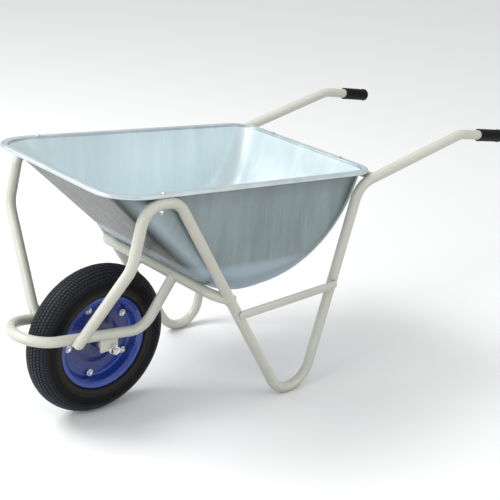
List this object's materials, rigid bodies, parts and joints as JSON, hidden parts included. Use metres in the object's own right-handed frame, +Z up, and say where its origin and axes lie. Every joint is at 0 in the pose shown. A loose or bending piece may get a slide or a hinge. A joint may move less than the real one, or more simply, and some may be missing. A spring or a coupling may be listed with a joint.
{
  "type": "wheelbarrow",
  "caption": "Single-wheel barrow: deep round-bellied tray on a bent-tube frame with loop legs, guard hoop and a pneumatic wheel, for carrying and tipping loose loads.",
  "frame": {"origin": "on the floor, under the centre of the whole barrow's bounding box", "axes": "+X forwards, from the handles to the wheel; +Y to the pusher's left; +Z up"},
  "size_m": [1.3737, 0.5312, 0.634],
  "materials": {
    "galvanised": "hot-dip galvanised sheet, satin",
    "frame_paint": "cream gloss paint",
    "grip_rubber": "matt black",
    "tyre_rubber": "matt black",
    "rim_paint": "deep blue gloss paint",
    "zinc": "zinc plated",
    "bearing_steel": "ground",
    "cap_plastic": "matt black"
  },
  "bodies": {
    "frame": {"axle_shaft": "zinc", "guard_hoop": "frame_paint", "left_axle_bracket": "frame_paint", "left_axle_nut": "zinc", "left_axle_spacer": "zinc", "left_axle_washer": "zinc", "left_bearing_inner_ring": "bearing_steel", "left_grip": "grip_rubber", "left_leg_brace": "frame_paint", "left_side_tube": "frame_paint", "rear_cross_tube": "frame_paint", "right_axle_bracket": "frame_paint", "right_axle_nut": "zinc", "right_axle_spacer": "zinc", "right_axle_washer": "zinc", "right_bearing_inner_ring": "bearing_steel", "right_grip": "grip_rubber", "right_leg_brace": "frame_paint", "right_side_tube": "frame_paint", "tray_bolt_front_left": "zinc", "tray_bolt_front_right": "zinc", "tray_bolt_rear_left": "zinc", "tray_bolt_rear_right": "zinc", "tray_nut_front_left": "zinc", "tray_nut_front_right": "zinc", "tray_nut_rear_left": "zinc", "tray_nut_rear_right": "zinc", "tray_pan": "galvanised", "tray_support_bar": "frame_paint", "tray_washer_front_left": "zinc", "tray_washer_front_right": "zinc", "tray_washer_rear_left": "zinc", "tray_washer_rear_right": "zinc"},
    "wheel": {"tyre": "tyre_rubber", "inner_tube": "tyre_rubber", "valve_stem": "tyre_rubber", "valve_cap": "cap_plastic", "left_rim_half": "rim_paint", "right_rim_half": "rim_paint", "hub_sleeve": "rim_paint", "left_bearing_outer_ring": "bearing_steel", "right_bearing_outer_ring": "bearing_steel", "wheel_bolt_1": "zinc", "wheel_bolt_2": "zinc", "wheel_bolt_3": "zinc", "wheel_bolt_4": "zinc", "wheel_bolt_5": "zinc", "wheel_nut_1": "zinc", "wheel_nut_2": "zinc", "wheel_nut_3": "zinc", "wheel_nut_4": "zinc", "wheel_nut_5": "zinc"}
  },
  "joints": [
    {"name": "wheel_spin", "type": "hinge", "parent": "frame", "child": "wheel", "pos_m": [0.457, 0, 0.185], "axis": [0, 1, 0], "continuous": true}
  ]
}
